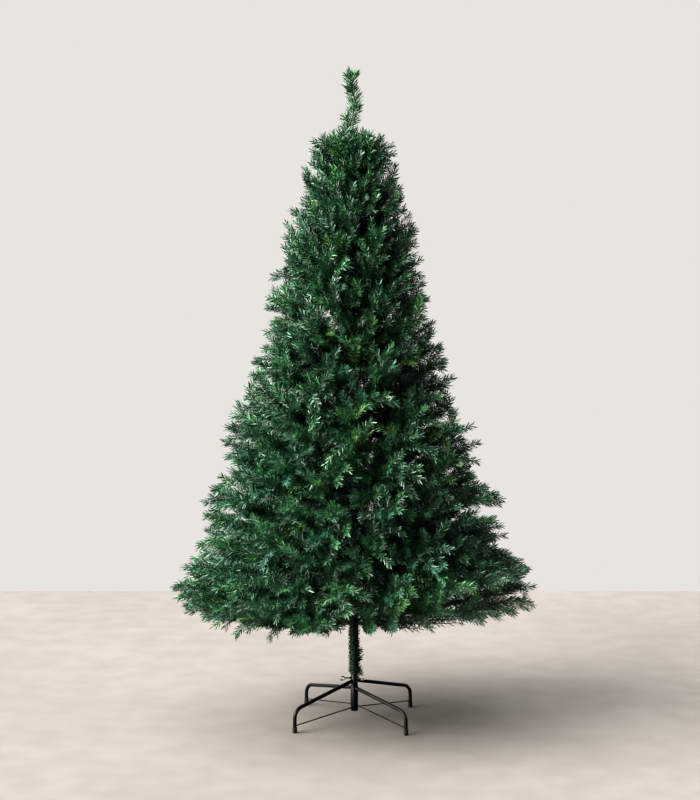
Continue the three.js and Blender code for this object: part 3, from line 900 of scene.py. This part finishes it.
def add_skin(depth, across, rise, looseness):
    line = profile(depth)
    walked = np.concatenate([[0], np.cumsum(np.linalg.norm(np.diff(line, axis=0), axis=1))])
    start, row = 0.0, 0
    while start < walked[-1]:
        radius, height = (np.interp(start, walked, line[:, axis]) for axis in (0, 1))
        closer = mix(1, CLOSEST, np.clip((height - CLOSER_ABOVE) / CLOSER_OVER, 0, 1))
        count = max(3, round(2 * math.pi * radius / (across * closer)))
        for column in range(count):
            turn = 2 * math.pi * (column + 0.5 * (row % 2) + GROWTH.uniform(-0.32, 0.32)) / count
            along = start + GROWTH.uniform(-0.42, 0.42) * rise * closer
            out, level = (np.interp(along, walked, line[:, axis]) for axis in (0, 1))
            loose = np.clip(GROWTH.normal(0, looseness), MOST_IN, MOST_OUT)
            out = min(out * (0.97 + lumps(turn, level) + loose), WIDEST_TIP)
            ragged = hang(out, turn) + 15 * math.sin(7 * turn + out / 60) + GROWTH.normal(0, 11)
            level += ragged * np.clip((RAGGED_BELOW - level) / RAGGED_OVER, 0, 1)
            add_end(out, turn, level, depth)
        start += rise * closer
        row += 1


ENDS = []
for skin in SKINS:
    add_skin(*skin)
print(len(ENDS), "ends in", len(SKINS), "skins")

# %% Single ends
STRAYS = [
    # across and height of single tips that stick out in the photo
    (476, 712), (498, 606), (560, 432), (592, 372), (566, 396), (528, 352), (486, 330), (430, 322),
    (-592, 392), (-536, 515), (-386, 1022), (-332, 1172), (-572, 412), (-552, 368), (-500, 336),
    (-446, 318), (-470, 296), (-436, 286), (-396, 276), (-360, 284), (-284, 262), (-262, 270),
]
HANGING_ENDS = 24
CURTAIN_ENDS, CURTAIN_DEPTH = 44, 0.75
CAP_ENDS, TOP_RADIUS = 34, 122

for x, z in STRAYS:
    ENDS.append({"point": np.array([x, GROWTH.uniform(-60, 60), z]), "depth": 1.0})
for place in range(HANGING_ENDS):
    out, turn = 36 + 450 * (place + 0.5) / HANGING_ENDS, place * GOLDEN_TURN + 2.6
    level = TIP_FLOOR - 8 + TIP_FLOOR_SLOPE * out + hang(out, turn) - GROWTH.uniform(0, 28)
    add_end(out, turn, level, shifted=False)
for place in range(CURTAIN_ENDS):
    out, turn = 50 + 210 * (place + 0.5) / CURTAIN_ENDS, place * GOLDEN_TURN + 0.7
    level = TIP_FLOOR + 45 + TIP_FLOOR_SLOPE * out + hang(out, turn) + GROWTH.uniform(0, 80)
    add_end(out, turn, level, CURTAIN_DEPTH, shifted=False)
for place in range(CAP_ENDS):
    out, turn = TOP_RADIUS * math.sqrt((place + 0.5) / CAP_ENDS), place * GOLDEN_TURN
    level = CROWN_TOP - 5 - 42 * (out / TOP_RADIUS) ** 2 + GROWTH.uniform(-12, 12)
    add_end(out, turn, level)
print(len(ENDS), "ends in all")

# %% Each end goes to a twig
SHOOT_LENGTH = 165
MOST_GAP = 230
OUTSIDE_FROM = 0.9
CHOICE_OUTSIDE = [0.82, 0.12, 0.06, 0.0]
CHOICE_INSIDE = [0.25, 0.25, 0.25, 0.25]
TWIG_TABLE = [(mass, twig) for mass in MASSES for twig in mass["twigs"]]
TWIG_LINES = np.array([twig["line"] for _, twig in TWIG_TABLE])


def shoot_from(mass, line, root, end, depth):
    """A shoot leaves a point of its twig's line, at first in the direction of the line."""
    onward = line[root + 1] - line[root]
    onward /= np.linalg.norm(onward)
    return {"start": line[root], "end": end, "line": onward, "mass": mass, "depth": depth}


def shoot_to(end):
    gaps = np.linalg.norm(TWIG_LINES - end["point"], axis=2)
    nearest = np.argsort(gaps.min(axis=1))[:4]
    outside = end["depth"] > OUTSIDE_FROM
    chosen = GROWTH.choice(nearest, p=CHOICE_OUTSIDE if outside else CHOICE_INSIDE)
    if gaps[chosen].min() > MOST_GAP:
        chosen = nearest[0]
    mass, twig = TWIG_TABLE[chosen]
    length = SHOOT_LENGTH * mix(1, 0.75, mass["tier"]["share"]) * GROWTH.uniform(0.8, 1.15)
    root = int(np.argmin(gaps[chosen]))
    while root > 0 and (gaps[chosen][root] < length or root > 0.9 * TWIG_POINTS):
        root -= 1
    return shoot_from(mass, twig["line"], root, end["point"], end["depth"])


SHOOTS = [shoot_to(end) for end in ENDS]
for mass, twig in TWIG_TABLE:
    root = int(max(twig["woody"] * TWIG_POINTS - 2, 0))
    SHOOTS.append(shoot_from(mass, twig["line"], root, twig["line"][-1], 0.8))
print(len(SHOOTS), "shoots")

# %% [markdown]
# ## Wires
#
# A shoot is a thin wire that leaves its twig forwards and bends to its end. Low down its own weight
# makes the end droop, and high up it sweeps upwards. The wires are many and alike, so they are not
# modelled one by one: a table of points is turned into rings with array arithmetic, of three
# corners for a shoot, four for a twig and six for a bough, and all the wires become one mesh.

# %% Curves of the shoots
STEPS = 6
TIP_TRIM = 17
DROOP, SWEEP = 0.13, -0.1


def curve_of(shoot):
    """Points along a shoot, from its twig to the end of its wire."""
    start, chord = shoot["start"], shoot["end"] - shoot["start"]
    reach = np.linalg.norm(chord)
    end = shoot["end"] - chord / reach * TIP_TRIM
    bend = start + 0.28 * (end - start) + 0.3 * reach * shoot["line"]
    droop = mix(DROOP, SWEEP, shoot["mass"]["tier"]["share"])
    bend[2] += reach * droop + GROWTH.normal(0, 0.03) * reach
    bend[:2] += GROWTH.normal(0, 0.05, 2) * reach
    return bent(start, bend, end, STEPS)


CURVES = np.array([curve_of(shoot) for shoot in SHOOTS]) * mm
print("curves", CURVES.shape)

# %% Rings into one mesh


def frames_along(curves):
    tangents = np.gradient(curves, axis=1)
    tangents /= np.linalg.norm(tangents, axis=2, keepdims=True)
    guide = np.broadcast_to(np.array([0.13, 0.21, 0.97]), tangents.shape)
    side = np.cross(tangents, guide)
    side /= np.linalg.norm(side, axis=2, keepdims=True)
    return tangents, side, np.cross(tangents, side)


def mesh_from(name, points, faces):
    """A mesh from an array of corners and an array of faces, all with as many corners."""
    mesh = bpy.data.meshes.new(name)
    sides = faces.shape[1]
    mesh.vertices.add(len(points))
    mesh.vertices.foreach_set("co", points.astype(np.float32).ravel())
    mesh.loops.add(faces.size)
    mesh.loops.foreach_set("vertex_index", faces.astype(np.int32).ravel())
    mesh.polygons.add(len(faces))
    mesh.polygons.foreach_set("loop_start", np.arange(len(faces), dtype=np.int32) * sides)
    mesh.update(calc_edges=True)
    return new_object(name, mesh)


def tube_arrays(curves, radii, sides):
    """Tapering tubes along many curves, closed from four sides up: corners, and faces of four."""
    count, steps = curves.shape[:2]
    _, side, face = frames_along(curves)
    turn = np.arange(sides) * 2 * math.pi / sides
    ring = (
        side[:, :, None, :] * np.cos(turn)[None, None, :, None]
        + face[:, :, None, :] * np.sin(turn)[None, None, :, None]
    )
    points = curves[:, :, None, :] + ring * radii[:, :, None, None]
    rows, corners = np.arange(steps - 1)[:, None] * sides, np.arange(sides)[None, :]
    here, beside = rows + corners, rows + (corners + 1) % sides
    one = np.stack([here, beside, beside + sides, here + sides], axis=-1).reshape(-1, 4)
    last = (steps - 1) * sides
    caps = [[3, 2, 1, 0], [last, last + 1, last + 2, last + 3]] if sides > 3 else []
    if sides == 6:
        caps += [[5, 4, 3, 0], [last, last + 3, last + 4, last + 5]]
    if caps:
        one = np.concatenate([one, np.array(caps)])
    faces = one[None] + (np.arange(count) * steps * sides)[:, None, None]
    return points.reshape(-1, 3), faces.reshape(-1, 4)


def join_arrays(parts):
    points, faces, base = [], [], 0
    for part_points, part_faces in parts:
        points.append(part_points)
        faces.append(part_faces + base)
        base += len(part_points)
    return np.concatenate(points), np.concatenate(faces)


def tapering(curves, thick, thin):
    """The radius at each point of many curves, from thick to thin, in millimetres."""
    steps = curves.shape[1]
    return np.broadcast_to(mix(thick, thin, np.linspace(0, 1, steps)) * mm, curves.shape[:2])


def bough_curve(mass):
    """From the skin of the pole to just past the fork."""
    way = mass["fork"] - mass["axis"]
    skin = mix(13.5, 8.5, mass["tier"]["share"]) / np.linalg.norm(way)
    return [mass["axis"] + way * mix(skin, 1.02, share) for share in np.linspace(0, 1, STEPS)]


twig_curves = TWIG_LINES[:, :-1:2] * mm
bough_curves = np.array([bough_curve(mass) for mass in MASSES]) * mm
wires = mesh_from(
    "bough_wires",
    *join_arrays([
        tube_arrays(CURVES, tapering(CURVES, 1.15, 0.7), 3),
        tube_arrays(twig_curves, tapering(twig_curves, 3.0, 0.8), 4),
        tube_arrays(bough_curves, tapering(bough_curves, 4.4, 3.4), 6),
    ]),
)
belongs(wires, BOUGH_WIRE, "bough_wire", *[name for name in ALL_NODES if name.startswith("bough_")])
print("wires", 2 * len(wires.data.polygons), "triangles")

# %% [markdown]
# ## Needles
#
# A needle is a narrow strip cut from plastic film and caught between two twisted wires, so strips
# stand out all round a shoot and lean towards its end. Each strip is two triangles with one corner
# at the root and one at the point. Its two other corners lie on either side, one low and one high,
# and it is folded a little between them. About eighty go on a shoot, and fewer along the twigs.
# Their places, leans and turns are worked out for all shoots at once, and the results are cut into
# meshes that stay easy to handle.

# %% One strip, many times
NEEDLE_LENGTH = 21 * mm
NEEDLE_WIDTH = 4.2 * mm
LOW_CORNER, HIGH_CORNER = 0.22, 0.76
STRIP_TURN = math.radians(137.508)


def strips(curves, spans, counts, length, leans, wire):
    """Strips along many curves. spans says where they begin and end, as shares of each curve."""
    tangents, side, face = frames_along(curves)
    owner = np.repeat(np.arange(len(curves)), counts)
    order = np.concatenate([np.arange(count) for count in counts])
    many = len(order)
    share = (order + GROWTH.uniform(0.3, 0.7, many)) / counts[owner]
    place = spans[owner, 0] + (spans[owner, 1] - spans[owner, 0]) * share
    step = place * (curves.shape[1] - 1)
    low = np.minimum(step.astype(int), curves.shape[1] - 2)
    part = (step - low)[:, None]
    root, along, across, upward = (
        mix(table[owner, low], table[owner, low + 1], part)
        for table in (curves, tangents, side, face)
    )
    turn = order * STRIP_TURN + GROWTH.normal(0, 0.12, many)
    out = across * np.cos(turn)[:, None] + upward * np.sin(turn)[:, None]
    at_root, at_end = (math.radians(lean) for lean in leans)
    lean = mix(at_root, at_end, np.clip(share, 0, 1) ** 2.2) + GROWTH.normal(0, 0.07, many)
    way = along * np.cos(lean)[:, None] + out * np.sin(lean)[:, None]
    way /= np.linalg.norm(way, axis=1, keepdims=True)
    reach = (length[owner] * GROWTH.uniform(0.9, 1.06, many))[:, None]
    flat = np.cross(way, GROWTH.normal(0, 1, (many, 3)))
    flat /= np.linalg.norm(flat, axis=1, keepdims=True)
    base = root + out * wire
    near = base + way * reach * LOW_CORNER + flat * NEEDLE_WIDTH / 2
    far = base + way * reach * HIGH_CORNER + along * reach * 0.03 - flat * NEEDLE_WIDTH / 2
    point = base + way * reach + along * reach * 0.1
    points = np.stack([base, near, far, point], axis=1)
    faces = np.array([[0, 2, 1], [1, 2, 3]])[None] + (np.arange(many) * 4)[:, None, None]
    return points.reshape(-1, 3), faces.reshape(-1, 3)


def same_strips(curves, span, count, length, leans, wire):
    """Strips along a few curves that are all alike, with sizes in millimetres."""
    many = len(curves)
    counts, lengths = np.full(many, count), np.full(many, length * mm)
    return strips(curves, np.tile(span, (many, 1)), counts, lengths, leans, wire * mm)


print("a strip is", NEEDLE_LENGTH, "by", NEEDLE_WIDTH)

# %% Tones of the film
TONES = {
    # share of the shoots, darkest and lightest colour
    "deep_and_shade": (0.48, (0.005, 0.026, 0.010), (0.022, 0.100, 0.040)),
    "fresh": (0.33, (0.007, 0.042, 0.014), (0.040, 0.165, 0.058)),
    "blue": (0.11, (0.006, 0.034, 0.017), (0.028, 0.132, 0.070)),
    "yellow": (0.08, (0.018, 0.062, 0.012), (0.060, 0.172, 0.042)),
}
# The mottle's flecks are about a needle in size, and each tone's lightest colour is about four
# times its darkest: besides random tone, this is painted light and shade that makes some needles
# look lit and others shaded.
FILMS = {
    tone: finish("needle_film_" + tone, dark, light, (14, 80, 300), (0.4, 0.55), gloss=0.9)
    for tone, (_, dark, light) in TONES.items()
}
print("tones", list(TONES))

# %% How many on each shoot and twig
STRIPS_PER_METRE, STRIPS_PER_METRE_INSIDE, STRIPS_PER_METRE_OF_TWIG = 680, 480, 320
FEWEST_STRIPS = 30
INSIDE_BELOW = 0.7
TWIG_SPAN, TWIG_CLOTHED = (0.12, 0.85), 0.73

tier_shares = np.array([shoot["mass"]["tier"]["share"] for shoot in SHOOTS])
depths = np.array([shoot["depth"] for shoot in SHOOTS])
shoot_lengths = np.linalg.norm(np.diff(CURVES, axis=1), axis=2).sum(axis=1)
clothed = np.minimum(shoot_lengths, mix(0.215, 0.16, tier_shares))
spans = np.stack([1 - clothed / shoot_lengths, np.ones(len(SHOOTS))], axis=1)
density = np.where(depths > INSIDE_BELOW, STRIPS_PER_METRE, STRIPS_PER_METRE_INSIDE)
counts = np.maximum((clothed * density).astype(int), FEWEST_STRIPS)
reaches = NEEDLE_LENGTH * mix(1.04, 0.9, tier_shares)
tone_of = GROWTH.choice(len(TONES), len(SHOOTS), p=[share for share, *_ in TONES.values()])
# Every shoot deep inside the crown takes the darkest tone: painted shade for the crown's shadowed
# inside.
tone_of[depths < INSIDE_BELOW] = 0

# the twigs join the tables: bare near the fork, then thin up to where their own end shoot begins
resampled = TWIG_LINES[:, np.linspace(0, TWIG_POINTS - 1, STEPS).astype(int)] * mm
twig_lengths = np.linalg.norm(np.diff(resampled, axis=1), axis=2).sum(axis=1)
CURVES = np.concatenate([CURVES, resampled])
spans = np.concatenate([spans, np.tile(TWIG_SPAN, (len(resampled), 1))])
twig_counts = (twig_lengths * TWIG_CLOTHED * STRIPS_PER_METRE_OF_TWIG).astype(int)
counts = np.concatenate([counts, twig_counts])
reaches = np.concatenate([reaches, np.full(len(resampled), NEEDLE_LENGTH)])
# The twigs' strips, which lie inside the crown, all take the darkest tone too: painted shade.
tone_of = np.concatenate([tone_of, np.zeros(len(resampled), int)])
owners = [shoot["mass"] for shoot in SHOOTS] + [mass for mass, _ in TWIG_TABLE]
print(counts.sum(), "strips,", 2 * counts.sum(), "triangles")

# %% Needles in pieces
MOST_TRIANGLES = 180000

tier_order = np.array([mass["tier"]["index"] for mass in owners])
for index, tone in enumerate(TONES):
    own = np.flatnonzero(tone_of == index)
    own = own[np.argsort(tier_order[own], kind="stable")]
    pieces = math.ceil(2 * counts[own].sum() / MOST_TRIANGLES)
    running = np.cumsum(counts[own]) / counts[own].sum() * pieces
    for part in range(pieces):
        chosen = own[(running > part) & (running <= part + 1 + 1e-9)]
        points, faces = strips(
            CURVES[chosen], spans[chosen], counts[chosen], reaches[chosen], (60, 34), 1.0 * mm
        )
        piece = mesh_from(f"needles_{tone}_{part + 1}", points, faces)
        nodes = sorted({"foliage_" + owners[shoot]["name"] for shoot in chosen})
        belongs(piece, FILMS[tone], "needles", *nodes)
        print(piece.name, len(faces), "triangles on", len(chosen), "shoots")

# %% [markdown]
# ## The leader
#
# The tip of the tree is a single upright shoot with longer needles. It stands on the pole's end and
# sways a little from side to side. Seven short tufts are bound to it, which give it a zigzag edge.

# %% Leader
LEADER_HEIGHTS = [1850, 1880, 1905, 1945, 1985, 2015, 2040, 2065, TREE_HEIGHT - 26]
LEADER_OFFSETS = [-12, -18, -16, -5, 2, -3, -12, -12, -6]
LEADER_POINTS = 16
# the point of the line that each tuft leaves, and its side
LEADER_TUFTS = ((1, -1), (2, -1), (4, -1), (7, 1), (11, -1), (14, -1), (14, 1))

levels = np.linspace(LEADER_HEIGHTS[0], LEADER_HEIGHTS[-1], LEADER_POINTS)
offsets = np.interp(levels, LEADER_HEIGHTS, LEADER_OFFSETS)
leader_line = np.stack([offsets, 5 * np.sin(levels / 24), levels], axis=1)
tufts = []
for step, hand in LEADER_TUFTS:
    out = np.array([hand * 15.0, GROWTH.uniform(-8, 8), GROWTH.uniform(22, 30)])
    out *= mix(1.3, 0.6, step / 14)
    tufts.append([leader_line[step] + out * share for share in np.linspace(0, 1, 4)])
leader_curve, tuft_curves = leader_line[None] * mm, np.array(tufts) * mm
leader = mesh_from(
    "leader_needles",
    *join_arrays([
        same_strips(leader_curve, (0.0, 1.0), 330, 33, (66, 50), 1.2),
        same_strips(tuft_curves, (0.1, 1.0), 30, 23, (56, 34), 1.0),
    ]),
)
leader_wire = mesh_from(
    "leader_wire",
    *join_arrays([
        tube_arrays(leader_curve, tapering(leader_curve, 2.2, 2.2), 6),
        tube_arrays(tuft_curves, tapering(tuft_curves, 1.0, 1.0), 4),
    ]),
)
belongs(leader, FILMS["fresh"], "needles", "leader")
belongs(leader_wire, BOUGH_WIRE, "bough_wire", "leader")
print(len(leader.data.polygons), "triangles in the leader")

# %% [markdown]
# ## Tinsel on the pole
#
# Short strips stick out of the winding all the way up. They show best just above the socket, where
# nothing hides them, and there some longer tufts stick out too, most of them on the right.

# %% Pole tinsel
POLE_STRIPS, POLE_TUFTS = 3400, 26
TUFT_FEET = ((-4, 11), (-9, 9), (142, 235))
TUFT_WAYS = ((0.2, 1), (-0.8, 0.8), (-0.6, 0.8))
TUFT_REACH = 10


def scattered(ranges):
    """Random points or directions, each number within its own range."""
    return np.stack([GROWTH.uniform(low, high, POLE_TUFTS) for low, high in ranges], axis=1)


pole_levels = np.linspace(WRAP_FOOT + 4 * mm, POLE_TOP, STEPS)
pole_curve = np.array([[lean_at(z), 0, z] for z in pole_levels])[None]
tuft_feet, tuft_ways = scattered(TUFT_FEET), scattered(TUFT_WAYS)
along = np.linspace(0, TUFT_REACH, 4)[None, :, None]
pole_tufts = (tuft_feet[:, None] + tuft_ways[:, None] * along) * mm
points, faces = join_arrays([
    same_strips(pole_curve, (0.0, 1.0), POLE_STRIPS, 10, (64, 64), 11.5),
    same_strips(pole_tufts, (0.3, 1.0), 5, 17, (40, 30), 0.5),
])
tinsel = mesh_from("pole_tinsel", points, faces)
belongs(tinsel, TINSEL_FILM, "pole_wrap", "pole")
print(len(faces), "triangles on the pole")
